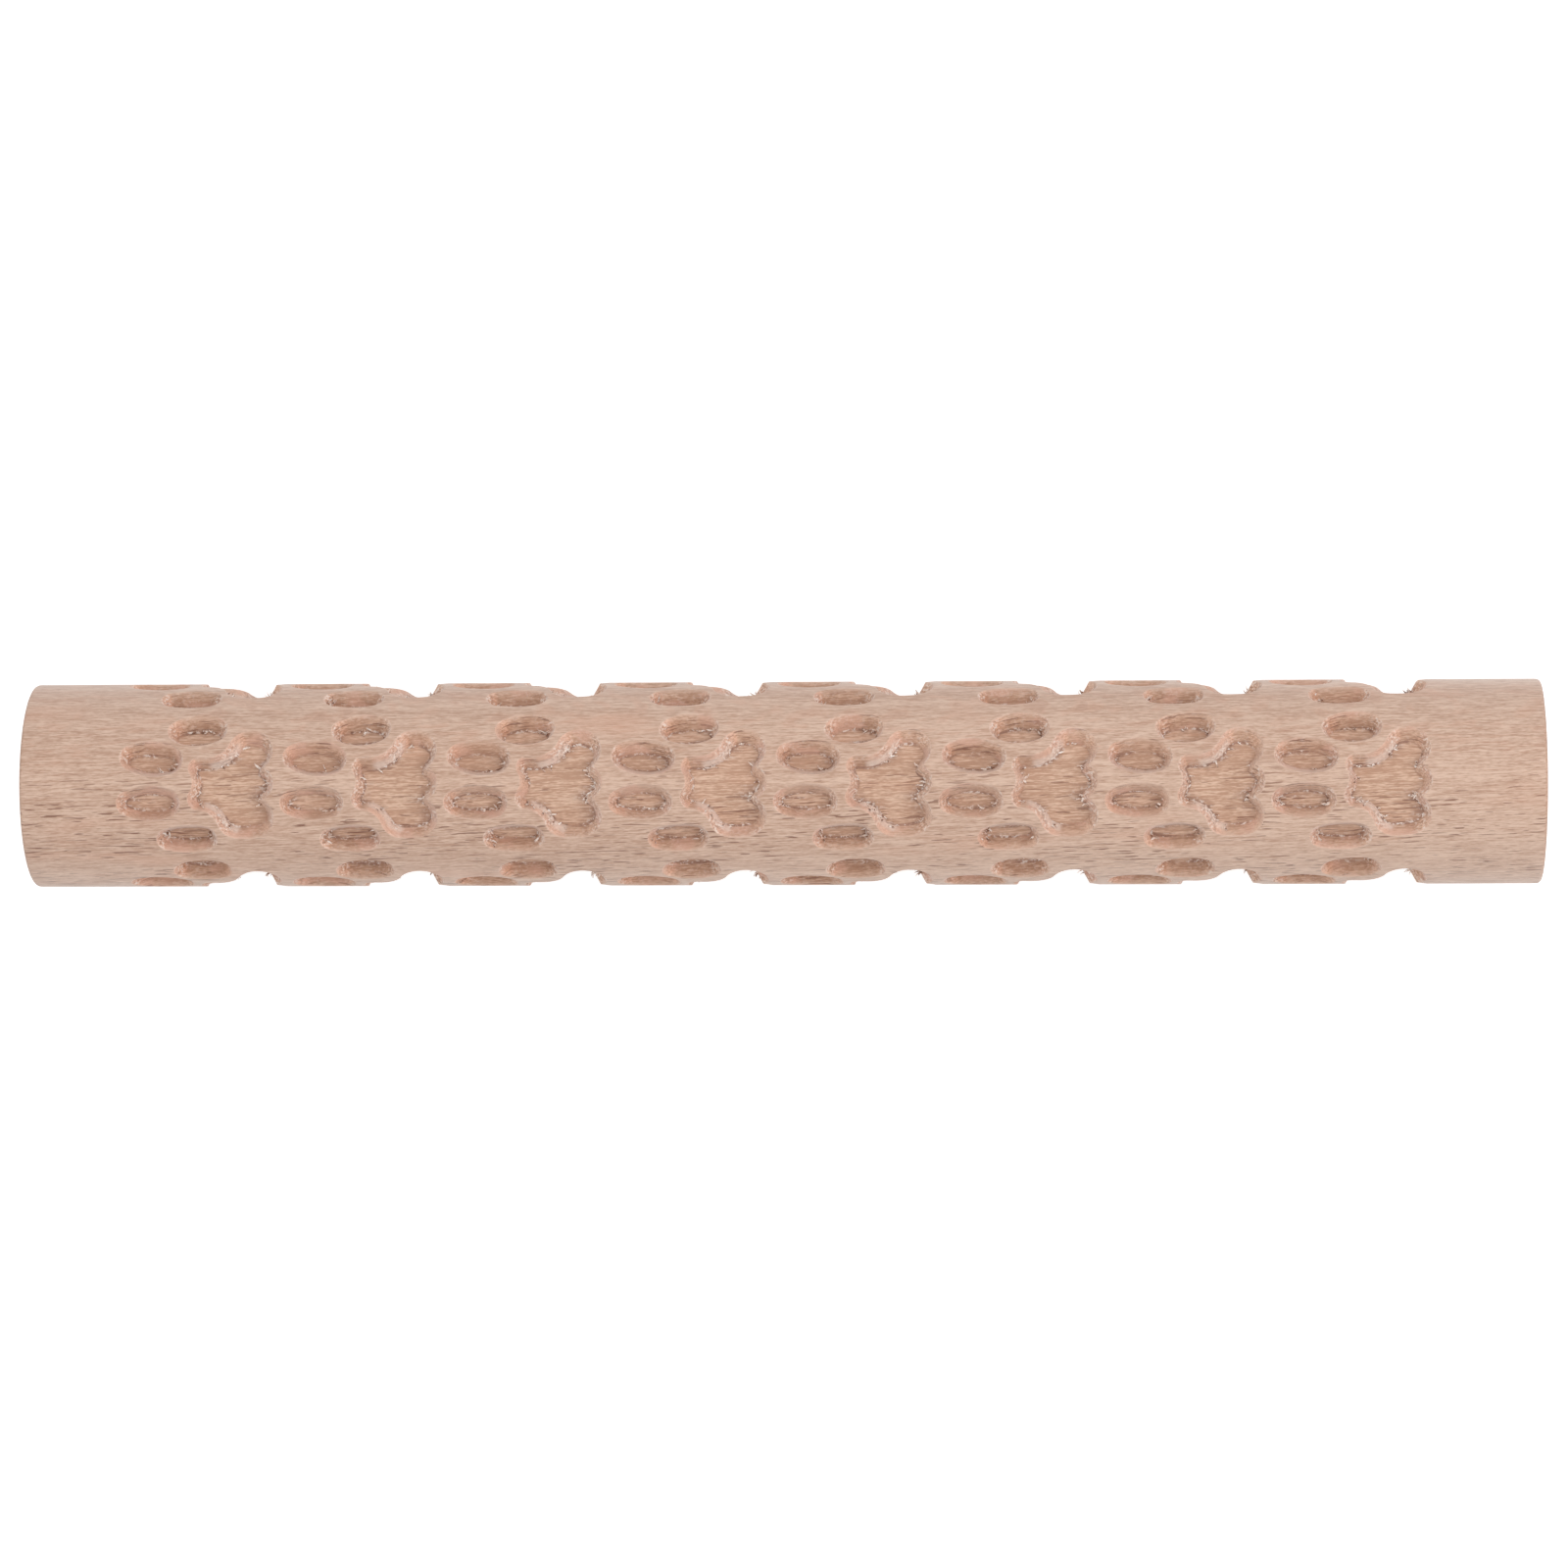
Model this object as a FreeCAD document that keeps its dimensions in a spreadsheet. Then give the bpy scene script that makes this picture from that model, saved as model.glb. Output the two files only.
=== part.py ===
import FreeCAD, Part
import Sketcher
import math
import os

# A hand roller for pressing a pattern into clay: one solid beech dowel with paw prints carved into its round
# face. The dowel's axis is X, the origin is the dowel's centre, and one row of paws faces up, along +Z. In
# every paw the toes point to -X and the broad pad lies towards +X. All sizes are in millimetres.

doc = FreeCAD.newDocument("pattern_roller")

# ---------------------------------------------------------------- driving dimensions
DIMENSIONS = [
    ("rod_diameter", 20.0, "diameter of the dowel"),
    ("rod_length", 148.0, "length of the dowel"),
    ("edge_round", 0.4, "rounding of the two end edges"),
    ("carve_depth", 1.5, "depth of every pocket below the round face"),
    ("wall_run", 0.8, "how far a pocket's wall leans in from its rim to its floor"),
    ("floor_shift", -0.25, "how far every floor sits sideways from its rim, round the dowel"),
    ("paw_length", 15.45, "length of one paw along the dowel, from toe tip to heel"),
    ("column_gap", 0.55, "plain wood between one paw and the next along the dowel"),
    ("row_gap_least", 0.4, "least plain wood between two rows of paws"),
    ("plain_end_least", 9.0, "least plain band at each end of the dowel"),
    ("pattern_shift", -0.75, "how far the paws as a group sit from the middle of the dowel"),
    ("cusp_round", 0.15, "rounding of the sharp wooden points between the heel lobes"),
]

sheet = doc.addObject("Spreadsheet::Sheet", "sizes")
for row, (alias, value, meaning) in enumerate(DIMENSIONS, start=1):
    sheet.set("A%d" % row, meaning)
    sheet.set("B%d" % row, str(value))
    sheet.setAlias("B%d" % row, alias)
doc.recompute()

radius = sheet.rod_diameter / 2
depth = sheet.carve_depth
floor_radius = radius - depth

# The cutters reach this far past the round face and past the floor, so that every cut is a clean crossing.
overshoot = 0.05

# The carved-away wood may differ from what the cutters hold by at most this share of it.
volume_tolerance = 0.02


# ---------------------------------------------------------------- the dowel
def origin_plane(body, role):
    for feature in body.Origin.OriginFeatures:
        if feature.Role == role:
            return feature
    raise ValueError("the body has no plane " + role)


def turned_dowel():
    body = doc.addObject("PartDesign::Body", "dowel")
    sketch = body.newObject("Sketcher::SketchObject", "dowel_circle")
    sketch.AttachmentSupport = [(origin_plane(body, "YZ_Plane"), "")]
    sketch.MapMode = "FlatFace"
    centre = FreeCAD.Vector(0, 0, 0)
    circle = sketch.addGeometry(Part.Circle(centre, FreeCAD.Vector(0, 0, 1), radius))
    sketch.addConstraint(Sketcher.Constraint("Coincident", circle, 3, -1, 1))
    size = sketch.addConstraint(Sketcher.Constraint("Diameter", circle, 2 * radius))
    sketch.setExpression("Constraints[%d]" % size, "sizes.rod_diameter")

    pad = body.newObject("PartDesign::Pad", "dowel_length")
    pad.Profile = sketch
    pad.setExpression("Length", "sizes.rod_length")
    pad.Midplane = True
    doc.recompute()

    end_edges = []
    for number, edge in enumerate(pad.Shape.Edges, start=1):
        if isinstance(edge.Curve, Part.Circle):
            end_edges.append("Edge%d" % number)
    rounding = body.newObject("PartDesign::Fillet", "end_rounding")
    rounding.Base = (pad, end_edges)
    rounding.setExpression("Radius", "sizes.edge_round")
    body.Tip = rounding
    doc.recompute()
    return body


# ---------------------------------------------------------------- outlines on the unrolled face
# An outline is a closed chain of arcs that touch smoothly, gone round clockwise. x runs along the dowel and
# y round it. A round end, or lobe, is (x, y, radius). Two lobes are joined by one more arc that touches both:
# its radius is positive where the outline turns inwards between them, and negative where it goes on outwards.
def direction(start, end):
    return math.atan2(end[1] - start[1], end[0] - start[0])


def circles_meet(first, first_radius, second, second_radius, side):
    """The point at two given distances from two centres; side is 1 for the left of the way between them."""
    span = math.hypot(second[0] - first[0], second[1] - first[1])
    along = (first_radius ** 2 - second_radius ** 2 + span ** 2) / (2 * span)
    across = math.sqrt(first_radius ** 2 - along ** 2)
    way = direction(first, second)
    x = first[0] + along * math.cos(way) - side * across * math.sin(way)
    y = first[1] + along * math.sin(way) + side * across * math.cos(way)
    return (x, y)


def arc_chain(lobes, joins):
    """The outline's arcs as (x, y, radius, start angle, end angle); a radius below 0 marks an inward arc."""
    centres = []
    for i, join in enumerate(joins):
        first = lobes[i]
        second = lobes[(i + 1) % len(lobes)]
        if join > 0:
            centres.append(circles_meet(first, first[2] + join, second, second[2] + join, 1))
        else:
            centres.append(circles_meet(first, -join - first[2], second, -join - second[2], -1))

    arcs = []
    for i, lobe in enumerate(lobes):
        start = direction(lobe, centres[i - 1]) if joins[i - 1] > 0 else direction(centres[i - 1], lobe)
        end = direction(lobe, centres[i]) if joins[i] > 0 else direction(centres[i], lobe)
        end = start - (start - end) % (2 * math.pi)
        arcs.append((lobe[0], lobe[1], lobe[2], start, end))
        follower = lobes[(i + 1) % len(lobes)]
        x, y = centres[i]
        if joins[i] > 0:
            start = direction(centres[i], lobe)
            end = start + (direction(centres[i], follower) - start) % (2 * math.pi)
        else:
            start = end
            end = start - (start - direction(centres[i], follower)) % (2 * math.pi)
        arcs.append((x, y, -joins[i], start, end))
    return arcs


def toe_outline(x, y, length, tilt, tip_radius, back_radius, side_radius):
    """An egg shape, turned by tilt degrees: two round ends joined by two wide side arcs."""
    turn = math.radians(tilt)
    tip = length / 2 - tip_radius
    back = length / 2 - back_radius
    lobes = [
        (x - tip * math.cos(turn), y - tip * math.sin(turn), tip_radius),
        (x + back * math.cos(turn), y + back * math.sin(turn), back_radius),
    ]
    return arc_chain(lobes, [-side_radius, -side_radius])


def palm_outline(cusp):
    """The broad pad: two small lobes towards the toes and three at the heel, with a cusp between each two."""
    lobes = [
        (4.9, 1.7, 1.1),
        (9.85, 3.45, 2.18),
        (10.4, 0.2, 1.75),
        (9.9, -3.2, 2.2),
        (8.5, -3.5, 1.95),
        (4.9, -1.3, 1.2),
    ]
    joins = [2.5, cusp, cusp, -9.0, 2.0, 1.5]
    return arc_chain(lobes, joins)


def paw_outlines():
    """Each pocket's outline in the drawing's own size, with the y of its middle."""
    toes = [
        toe_outline(0.15, 2.68, 6.25, -4.0, 1.35, 1.5, 5.5),
        toe_outline(-0.15, -1.75, 6.25, 0.0, 1.3, 1.5, 5.9),
        toe_outline(4.55, 5.72, 5.85, 4.0, 1.35, 1.5, 4.85),
        toe_outline(3.45, -5.55, 6.0, 2.0, 1.3, 1.4, 8.35),
    ]
    return toes + [palm_outline(sheet.cusp_round)]


def extent(outlines, axis):
    """The lowest and highest value of x (axis 0) or y (axis 1) over all the lobes of some outlines."""
    lows = []
    highs = []
    for arcs in outlines:
        for arc in arcs[::2]:
            lows.append(arc[axis] - arc[2])
            highs.append(arc[axis] + arc[2])
    return min(lows), max(highs)


# ---------------------------------------------------------------- pocket cutters
points_per_arc = 7


def wrapped_point(x, y, at_radius):
    """A point of the unrolled face, placed at a radius over its own angle round the dowel."""
    angle = y / radius
    return FreeCAD.Vector(x, at_radius * math.sin(angle), at_radius * math.cos(angle))


def ring_points(arcs, scale, turn_back, at_radius):
    """One list of points for each arc, at a radius of the dowel, where the wall has leaned in by its share."""
    share = (radius - at_radius) / depth
    lean = sheet.wall_run * share
    shift = sheet.floor_shift * share
    ring = []
    for x, y, arc_radius, start, end in arcs:
        reach = abs(arc_radius * scale - lean)
        points = []
        for i in range(points_per_arc):
            angle = start + (end - start) * i / (points_per_arc - 1)
            point_x = x * scale + reach * math.cos(angle)
            point_y = y * scale + reach * math.sin(angle) + shift - turn_back
            points.append(wrapped_point(point_x, point_y, at_radius))
        ring.append(points)
    return ring


def flattened(ring, height):
    return [[FreeCAD.Vector(point.x, point.y, height) for point in points] for points in ring]


def ring_wire(ring):
    edges = []
    for points in ring:
        curve = Part.BSplineCurve()
        curve.interpolate(points)
        edges.append(curve.toShape())
    return Part.Wire(edges)


def pocket_cutter(arcs, scale):
    """The wood that one pocket takes away, from its concentric floor to just outside the round face."""
    low, high = extent([arcs], 1)
    middle = scale * (low + high) / 2
    rim = ring_points(arcs, scale, middle, radius + overshoot)
    floor = ring_points(arcs, scale, middle, floor_radius - overshoot)
    lowest = min(point.z for points in floor for point in points)
    top = flattened(rim, radius + 2 * overshoot)
    bottom = flattened(floor, lowest - overshoot)
    wires = [ring_wire(ring) for ring in (bottom, floor, rim, top)]
    cutter = Part.makeLoft(wires, True, True)
    core = Part.makeCylinder(floor_radius, sheet.rod_length, FreeCAD.Vector(-sheet.rod_length / 2, 0, 0),
                             FreeCAD.Vector(1, 0, 0))
    cutter = cutter.cut(core)
    cutter.rotate(FreeCAD.Vector(0, 0, 0), FreeCAD.Vector(1, 0, 0), -math.degrees(middle / radius))
    return cutter


def pattern_cutters():
    """One cutter for each pocket of every paw, in even rows round the dowel and even columns along it."""
    outlines = paw_outlines()
    left, right = extent(outlines, 0)
    low, high = extent(outlines, 1)
    scale = sheet.paw_length / (right - left)
    row_width = (high - low) * scale + sheet.row_gap_least
    rows = math.floor(2 * math.pi * radius / row_width)
    pitch = sheet.paw_length + sheet.column_gap
    room = sheet.rod_length - 2 * sheet.plain_end_least
    columns = math.floor((room - sheet.paw_length) / pitch) + 1
    group_length = sheet.paw_length + (columns - 1) * pitch
    first_x = sheet.pattern_shift - group_length / 2 - left * scale

    one_paw = [pocket_cutter(arcs, scale) for arcs in outlines]
    cutters = []
    for row in range(rows):
        for column in range(columns):
            for cutter in one_paw:
                copy = cutter.copy()
                copy.rotate(FreeCAD.Vector(0, 0, 0), FreeCAD.Vector(1, 0, 0), 360.0 * row / rows)
                copy.translate(FreeCAD.Vector(first_x + column * pitch, 0, 0))
                cutters.append(copy)
    print("rows", rows, "columns", columns, "pockets", len(cutters), "first paw at x", round(first_x, 3))
    return cutters


# ---------------------------------------------------------------- the roller
dowel = turned_dowel()

cutters = pattern_cutters()
pattern = doc.addObject("Part::Feature", "paw_cutters")
pattern.Shape = Part.makeCompound(cutters)
pattern.Placement = FreeCAD.Placement()

roller = doc.addObject("Part::Cut", "carved_roller")
roller.Base = dowel
roller.Tool = pattern
roller.Label = "pattern_roller"
roller.Placement = FreeCAD.Placement()
doc.recompute()

# ---------------------------------------------------------------- checks and output
for item in doc.Objects:
    if "Invalid" in item.State or "Error" in item.State:
        raise RuntimeError(item.Label + " did not recompute")

sub_parts = [roller]
for sub_part in sub_parts:
    shape = sub_part.Shape
    if shape.isNull() or not shape.isValid() or len(shape.Solids) != 1:
        raise RuntimeError(sub_part.Label + " is not one valid solid")

carved = dowel.Shape.Volume - roller.Shape.Volume
pockets_per_paw = len(paw_outlines())
one_paw_volume = sum(cutter.common(dowel.Shape).Volume for cutter in cutters[:pockets_per_paw])
expected = one_paw_volume * len(cutters) / pockets_per_paw
print("carved away", round(carved, 1), "mm3, the cutters hold", round(expected, 1), "mm3")
if abs(carved - expected) > volume_tolerance * expected:
    raise RuntimeError("some pockets were not cut")

os.makedirs("parts", exist_ok=True)
for sub_part in sub_parts:
    sub_part.Shape.exportStep(os.path.join("parts", sub_part.Label + ".step"))
    print(sub_part.Label, "volume", round(sub_part.Shape.Volume, 1), "mm3")
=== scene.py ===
# %% [markdown]
# # A carved beech roller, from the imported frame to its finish
# The real object is one stick of beech, 148 mm long and 20 mm thick, with paw prints milled into its round
# face. A potter rolls it over clay under the palm of the hand. The frame comes first: the CAD part, in
# metres, lying along X with one row of paws facing up. Everything below is measured from it.

# %% Load the frame
import math
import random

import bpy
import bmesh
from mathutils import Matrix, Vector


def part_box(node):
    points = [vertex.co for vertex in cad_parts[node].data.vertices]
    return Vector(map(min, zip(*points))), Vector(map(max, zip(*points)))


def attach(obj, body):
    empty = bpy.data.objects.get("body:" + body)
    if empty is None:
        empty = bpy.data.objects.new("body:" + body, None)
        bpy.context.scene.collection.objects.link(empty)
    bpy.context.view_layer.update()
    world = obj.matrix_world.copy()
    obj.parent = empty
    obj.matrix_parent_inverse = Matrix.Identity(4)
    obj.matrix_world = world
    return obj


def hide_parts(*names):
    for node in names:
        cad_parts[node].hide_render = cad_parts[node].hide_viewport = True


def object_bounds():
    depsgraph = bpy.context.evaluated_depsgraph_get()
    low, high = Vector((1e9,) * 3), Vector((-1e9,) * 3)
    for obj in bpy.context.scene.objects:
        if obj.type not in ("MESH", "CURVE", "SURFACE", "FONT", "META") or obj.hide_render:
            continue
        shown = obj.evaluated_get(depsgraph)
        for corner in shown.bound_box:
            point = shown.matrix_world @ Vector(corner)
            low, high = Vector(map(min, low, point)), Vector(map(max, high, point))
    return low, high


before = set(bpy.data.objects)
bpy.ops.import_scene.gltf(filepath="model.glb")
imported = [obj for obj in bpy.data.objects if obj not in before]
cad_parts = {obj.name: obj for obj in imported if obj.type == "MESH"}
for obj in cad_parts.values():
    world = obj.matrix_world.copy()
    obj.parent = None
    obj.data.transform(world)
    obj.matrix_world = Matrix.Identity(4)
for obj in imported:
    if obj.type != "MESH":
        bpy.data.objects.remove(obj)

cad_low, cad_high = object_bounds()
node_low, node_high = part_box("pattern_roller")
print("CAD box in mm:", [round(side * 1000, 2) for side in cad_high - cad_low])

# %% [markdown]
# ## Sizes
# The dowel's length and radius are read from the frame. The pockets' sizes are the ones that the carver set:
# how deep the cutter went, how far the wall leans, how far apart the paws stand. The roller is drawn in
# millimetres, a thousand times too large for the frame, and shrunk at the very end. Many of Blender's edit
# tools have small built-in tolerances, and at this size none of them can blur a fine edge.

# %% Sizes in millimetres
MM = 0.001
rod_radius = (node_high.z - node_low.z) / 2 / MM
rod_length = (node_high.x - node_low.x) / MM
end_round = 0.4
carve_depth = 1.5
wall_run = 0.8
floor_shift = -0.25
paw_length = 15.45
paw_gap = 0.55
paw_pitch = paw_length + paw_gap
paw_columns = 8
paw_rows = 4
pattern_shift = -0.75
cusp_round = 0.15
row_height = 2 * math.pi * rod_radius / paw_rows
print("rod radius", round(rod_radius, 3), "length", round(rod_length, 3))
print("row height", round(row_height, 3), "pitch", round(paw_pitch, 3))

# %% [markdown]
# ## Outlines of the pockets
# A milled outline is a chain of arcs, because the cutter is round. So each pocket is drawn as a few round
# lobes, and each pair of lobes is joined by one more arc that touches both: inwards for a waist or a sharp
# wooden cusp, outwards for a long belly. That gives perfectly smooth curves from a handful of numbers, and it
# keeps the outline even when it is made smaller for the floor.

# %% Arcs that touch
def direction(start, end):
    return math.atan2(end[1] - start[1], end[0] - start[0])


def circles_meet(first, first_radius, second, second_radius, side):
    span = math.hypot(second[0] - first[0], second[1] - first[1])
    along = (first_radius ** 2 - second_radius ** 2 + span ** 2) / (2 * span)
    across = math.sqrt(first_radius ** 2 - along ** 2)
    way = direction(first, second)
    x = first[0] + along * math.cos(way) - side * across * math.sin(way)
    y = first[1] + along * math.sin(way) + side * across * math.cos(way)
    return (x, y)


def arc_chain(lobes, joins):
    """Arcs as (x, y, radius, start, end), clockwise; a radius below 0 marks an inward arc."""
    centres = []
    for i, join in enumerate(joins):
        first, second = lobes[i], lobes[(i + 1) % len(lobes)]
        if join > 0:
            centres.append(circles_meet(first, first[2] + join, second, second[2] + join, 1))
        else:
            centres.append(circles_meet(first, -join - first[2], second, -join - second[2], -1))
    arcs = []
    for i, lobe in enumerate(lobes):
        start = direction(lobe, centres[i - 1]) if joins[i - 1] > 0 else direction(centres[i - 1], lobe)
        end = direction(lobe, centres[i]) if joins[i] > 0 else direction(centres[i], lobe)
        end = start - (start - end) % (2 * math.pi)
        arcs.append((lobe[0], lobe[1], lobe[2], start, end))
        follower = lobes[(i + 1) % len(lobes)]
        if joins[i] > 0:
            start = direction(centres[i], lobe)
            end = start + (direction(centres[i], follower) - start) % (2 * math.pi)
        else:
            start = end
            end = start - (start - direction(centres[i], follower)) % (2 * math.pi)
        arcs.append((centres[i][0], centres[i][1], -joins[i], start, end))
    return arcs


def toe_outline(x, y, length, tilt, tip_radius, back_radius, side_radius):
    turn = math.radians(tilt)
    tip, back = length / 2 - tip_radius, length / 2 - back_radius
    lobes = [
        (x - tip * math.cos(turn), y - tip * math.sin(turn), tip_radius),
        (x + back * math.cos(turn), y + back * math.sin(turn), back_radius),
    ]
    return arc_chain(lobes, [-side_radius, -side_radius])


# %% [markdown]
# One paw has four toes, which are eggs, and one broad pad. The pad has two small lobes in front and three at
# the heel, with a cusp of wood on each side of the middle one. The numbers are millimetres on the unrolled
# face: x along the dowel, y round it, and (0, 0) between the two front toes.

# %% The paw's outlines
palm_lobes = [(4.9, 1.7, 1.1), (9.85, 3.45, 2.18), (10.4, 0.2, 1.75), (9.9, -3.2, 2.2), (8.5, -3.5, 1.95),
              (4.9, -1.3, 1.2)]
palm_joins = [2.5, cusp_round, cusp_round, -9.0, 2.0, 1.5]
paw_outlines = [
    toe_outline(0.15, 2.68, 6.25, -4.0, 1.35, 1.5, 5.5),
    toe_outline(-0.15, -1.75, 6.25, 0.0, 1.3, 1.5, 5.9),
    toe_outline(4.55, 5.72, 5.85, 4.0, 1.35, 1.5, 4.85),
    toe_outline(3.45, -5.55, 6.0, 2.0, 1.3, 1.4, 8.35),
    arc_chain(palm_lobes, palm_joins),
]
lobe_arcs = [arc for arcs in paw_outlines for arc in arcs[::2]]
paw_left = min(arc[0] - arc[2] for arc in lobe_arcs)
paw_right = max(arc[0] + arc[2] for arc in lobe_arcs)
group_length = paw_length + (paw_columns - 1) * paw_pitch
first_paw_x = pattern_shift - group_length / 2 - paw_left
print("paw spans", round(paw_left, 2), "to", round(paw_right, 2), "first paw at x", round(first_paw_x, 2))

# %% [markdown]
# ## The section of a pocket
# Cut across, a pocket is not a box. The rim is a hair rounded where the sander passed, the wall leans in, and
# the cutter's round nose leaves a fillet at the foot. The section is a short list of steps from the land down
# to the floor, each one an inward distance and a depth. A first step lies flat on the land, just outside the
# rim: it is a supporting edge, which keeps the smooth shading of the rim from bleeding over the land.

# %% Section steps as (inward distance from the rim line, depth)
rim_round = 0.13
foot_round = 0.14
edge_margin = 0.02
rim_shares = (0.25, 0.6, 1.0)
wall_shares = (0.35, 0.68)
foot_shares = (1.0, 0.0)
wall_angle = math.atan2(carve_depth, wall_run)
rim_tangent = rim_round * math.tan(wall_angle / 2)
foot_tangent = foot_round * math.tan(wall_angle / 2)


def round_step(centre, round_radius, tilt, bulge):
    """A point on a rounding, tilt away from its flat side; bulge is 1 for the rim and -1 for the foot."""
    across = centre[0] + bulge * round_radius * math.sin(tilt)
    down = centre[1] - bulge * round_radius * math.cos(tilt)
    return (across, down)


rim_centre = (-rim_tangent, rim_round)
foot_centre = (wall_run + foot_tangent, carve_depth - foot_round)
section = [(-rim_tangent - edge_margin, 0.0)]
section += [round_step(rim_centre, rim_round, wall_angle * share, 1) for share in rim_shares]
section += [(wall_run * share, carve_depth * share) for share in wall_shares]
section += [round_step(foot_centre, foot_round, wall_angle * share, -1) for share in foot_shares]
wall_top = section[1 + len(rim_shares)][1]
floor_depth = section[-1][1]
for across, down in section:
    print("section step", round(across, 3), round(down, 3))

# %% [markdown]
# ## Small helpers for working by hand
# The edit tools act on what is selected, so everything is deselected before a new start, and then picked by
# its place. These helpers do the clicking.

# %% Selecting and working in edit mode
def deselect_all():
    bpy.ops.object.select_all(action="DESELECT")


def make_active(piece):
    deselect_all()
    piece.select_set(True)
    bpy.context.view_layer.objects.active = piece


def pick(piece, kind, test):
    """Selects in edit mode only the vertices, edges or faces for which the test holds, and counts them."""
    make_active(piece)
    bpy.ops.object.mode_set(mode="EDIT")
    bpy.ops.mesh.select_mode(type=kind)
    bpy.ops.mesh.select_all(action="DESELECT")
    shape = bmesh.from_edit_mesh(piece.data)
    members = {"VERT": shape.verts, "EDGE": shape.edges, "FACE": shape.faces}[kind]
    count = 0
    for member in members:
        if test(member):
            member.select_set(True)
            count += 1
    shape.select_flush_mode()
    bmesh.update_edit_mesh(piece.data)
    return count


def leave_edit():
    bpy.ops.object.mode_set(mode="OBJECT")


def triangles(piece):
    return sum(len(face.vertices) - 2 for face in piece.data.polygons)


# %% [markdown]
# ## One paw on a flat tile
# The whole face of the dowel is 32 copies of one tile. The tile stands upright: x runs along the dowel, z
# round it, and +y goes into the wood. Each outline starts as a circle whose points are moved onto the
# outline, and a plane the size of the tile is added round them. The Fill tool then covers the land between
# the plane's edge and the outlines, as it would with any drawing that has holes.

# %% Draw the outlines and the edge of the tile
outline_spacing = 0.4
tile_left = paw_left - (paw_pitch - paw_length) / 2
tile_right = tile_left + paw_pitch


def outline_points(arcs):
    """Points along the first step of the section, close enough together for the widest step of each arc."""
    offset = section[0][0]
    deepest = section[-1][0]
    points = []
    for x, y, arc_radius, start, end in arcs:
        widest = max(abs(arc_radius - offset), abs(arc_radius - deepest))
        count = max(2, round(abs(end - start) * widest / outline_spacing))
        reach = abs(arc_radius - offset) if arc_radius > 0 else -arc_radius + offset
        for i in range(count):
            angle = start + (end - start) * i / count
            points.append((x + reach * math.cos(angle), y + reach * math.sin(angle)))
    return points


def outline_circle(arcs):
    points = outline_points(arcs)
    deselect_all()
    bpy.ops.mesh.primitive_circle_add(vertices=len(points), radius=1.0, fill_type="NGON")
    circle = bpy.context.object
    for vertex, point in zip(circle.data.vertices, points):
        vertex.co = Vector((point[0], 0.0, point[1]))
    return circle


drawn = [outline_circle(arcs) for arcs in paw_outlines]
pocket_points = [len(circle.data.vertices) for circle in drawn]
deselect_all()
bpy.ops.mesh.primitive_plane_add(size=1.0, rotation=(math.pi / 2, 0.0, 0.0))
tile = bpy.context.object
tile.name = "carved_dowel"
tile.data.name = "carved_dowel"
tile.scale = (paw_pitch, row_height, 1.0)
tile.location = ((tile_left + tile_right) / 2, 0.0, 0.0)
bpy.ops.object.transform_apply(location=True, rotation=True, scale=True)
pick(tile, "FACE", lambda face: True)
bpy.ops.mesh.delete(type="ONLY_FACE")
leave_edit()
for circle in drawn:
    circle.select_set(True)
bpy.context.view_layer.objects.active = tile
bpy.ops.object.join()
print("outline points per pocket:", pocket_points)

# %% Fill the land round the pockets
def face_outwards(piece):
    """Turns every face of a flat sheet so that it faces -y, out of the wood."""
    pick(piece, "FACE", lambda face: True)
    bpy.ops.mesh.normals_make_consistent(inside=False)
    leave_edit()
    if piece.data.polygons[0].normal.y > 0:
        pick(piece, "FACE", lambda face: True)
        bpy.ops.mesh.flip_normals()
        leave_edit()


pick(tile, "EDGE", lambda edge: True)
bpy.ops.mesh.fill(use_beauty=True)
leave_edit()
face_outwards(tile)
print("land", sum(1 for face in tile.data.polygons if len(face.vertices) == 3), "triangles, pockets",
      sum(1 for face in tile.data.polygons if len(face.vertices) > 3))

# %% [markdown]
# ## Sink the pockets
# Each pocket is one flat face so far. The Inset tool makes it smaller by the same distance all round, which
# is just what a leaning wall does, and sinks it by the depth of the step. Seven insets, one for each step of
# the section, make the rounded rim, the wall and the foot. The cutter leaned a little as the dowel turned
# under it, so each step also slides a touch round the dowel.

# %% Inset each pocket down to its floor
fewest_corners = 20


def is_pocket(face):
    return len(face.verts) > fewest_corners


for (across, down), (next_across, next_down) in zip(section, section[1:]):
    pick(tile, "FACE", is_pocket)
    bpy.ops.mesh.inset(thickness=next_across - across, depth=down - next_down, use_even_offset=True)
    slide = floor_shift * (next_down - down) / carve_depth
    bpy.ops.transform.translate(value=(0.0, 0.0, slide))
    leave_edit()
print("tile now has", triangles(tile), "triangles")

# %% [markdown]
# ## Slices that follow the round
# The tile is flat, and it is about to be wrapped round the dowel. A long flat triangle cannot bend, so the
# land and the floors are sliced first, with the Bisect tool, into strips that run along the dowel. Each strip
# takes up four and a half degrees of the round, fine enough for a clean outline. The walls are short already
# and stay as they are.

# %% Slice the land and the floors
strips = 20


def lies_flat(face):
    return abs(face.normal.y) > 0.999


for i in range(1, strips):
    height = -row_height / 2 + row_height * i / strips
    pick(tile, "FACE", lies_flat)
    bpy.ops.mesh.bisect(plane_co=(0.0, 0.0, height), plane_no=(0.0, 0.0, 1.0), threshold=1e-5)
    leave_edit()
print("tile now has", triangles(tile), "triangles")

# %% [markdown]
# ## Small unevenness of the cut
# Beech tears a little under a milling cutter, so the walls and floors are not perfectly even. The Randomize
# tool moves the points of the walls and floors by a few hundredths of a millimetre, with a fixed seed, so
# that the light catches them unevenly. The land was sanded and stays true.

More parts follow.
